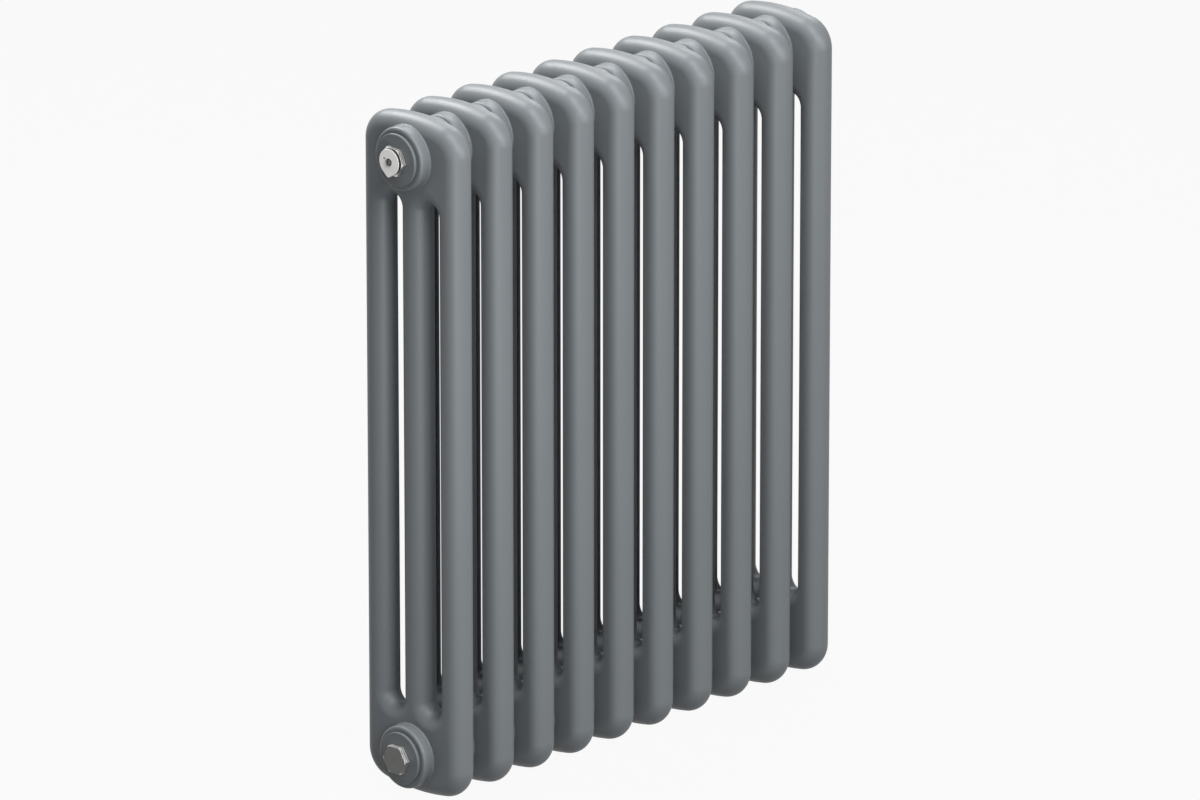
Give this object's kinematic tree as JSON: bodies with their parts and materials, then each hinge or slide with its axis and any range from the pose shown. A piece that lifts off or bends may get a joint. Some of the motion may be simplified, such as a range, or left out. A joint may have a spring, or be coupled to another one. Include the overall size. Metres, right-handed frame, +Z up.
{
  "type": "column radiator",
  "caption": "Tubular steel column radiator: rows of upright tubes between rounded heads joined at screwed hubs, with a manual air vent and a blind plug at one end.",
  "frame": {"origin": "on the floor plane under the middle of the overall length and depth", "axes": "+X along the row from the vent end to the open end, -Y out of the front, +Z up"},
  "size_m": [0.4734, 0.107, 0.566],
  "materials": {
    "radiator_paint": "satin anthracite powder coat",
    "bush_paint": "satin anthracite powder coat over a turned bush",
    "nipple_steel": "plain turned steel",
    "gasket_rubber": "matt fibre-reinforced sealing sheet",
    "seal_rubber": "matt moulded rubber",
    "plug_nickel": "dull nickel plate",
    "vent_nickel": "bright nickel plate",
    "spout_plastic": "moulded white plastic",
    "screw_steel": "plated steel"
  },
  "bodies": {
    "radiator": {"section_01_bottom_head": "radiator_paint", "section_01_top_head": "radiator_paint", "section_02_bottom_head": "radiator_paint", "section_02_top_head": "radiator_paint", "section_03_bottom_head": "radiator_paint", "section_03_top_head": "radiator_paint", "section_04_bottom_head": "radiator_paint", "section_04_top_head": "radiator_paint", "section_05_bottom_head": "radiator_paint", "section_05_top_head": "radiator_paint", "section_06_bottom_head": "radiator_paint", "section_06_top_head": "radiator_paint", "section_07_bottom_head": "radiator_paint", "section_07_top_head": "radiator_paint", "section_08_bottom_head": "radiator_paint", "section_08_top_head": "radiator_paint", "section_09_bottom_head": "radiator_paint", "section_09_top_head": "radiator_paint", "section_10_bottom_head": "radiator_paint", "section_10_top_head": "radiator_paint", "section_01_front_tube": "radiator_paint", "section_01_middle_tube": "radiator_paint", "section_01_rear_tube": "radiator_paint", "section_02_front_tube": "radiator_paint", "section_02_middle_tube": "radiator_paint", "section_02_rear_tube": "radiator_paint", "section_03_front_tube": "radiator_paint", "section_03_middle_tube": "radiator_paint", "section_03_rear_tube": "radiator_paint", "section_04_front_tube": "radiator_paint", "section_04_middle_tube": "radiator_paint", "section_04_rear_tube": "radiator_paint", "section_05_front_tube": "radiator_paint", "section_05_middle_tube": "radiator_paint", "section_05_rear_tube": "radiator_paint", "section_06_front_tube": "radiator_paint", "section_06_middle_tube": "radiator_paint", "section_06_rear_tube": "radiator_paint", "section_07_front_tube": "radiator_paint", "section_07_middle_tube": "radiator_paint", "section_07_rear_tube": "radiator_paint", "section_08_front_tube": "radiator_paint", "section_08_middle_tube": "radiator_paint", "section_08_rear_tube": "radiator_paint", "section_09_front_tube": "radiator_paint", "section_09_middle_tube": "radiator_paint", "section_09_rear_tube": "radiator_paint", "section_10_front_tube": "radiator_paint", "section_10_middle_tube": "radiator_paint", "section_10_rear_tube": "radiator_paint", "end_bushes": "bush_paint", "hub_nipples": "nipple_steel", "hub_gaskets": "gasket_rubber", "bush_gaskets": "gasket_rubber", "fitting_seal_rings": "seal_rubber", "blind_plug": "plug_nickel", "vent_body": "vent_nickel"},
    "spout": {"vent_spout": "spout_plastic"},
    "screw": {"bleed_screw": "screw_steel", "bleed_screw_seal": "seal_rubber"}
  },
  "joints": [
    {"name": "spout_swivel", "type": "hinge", "parent": "radiator", "child": "spout", "pos_m": [-0.20305, 0, 0.533], "axis": [-1, 0, 0], "continuous": true},
    {"name": "bleed_screw_turn", "type": "hinge", "parent": "radiator", "child": "screw", "pos_m": [-0.20305, 0, 0.533], "axis": [-1, 0, 0], "range_deg": [0, 540]}
  ]
}
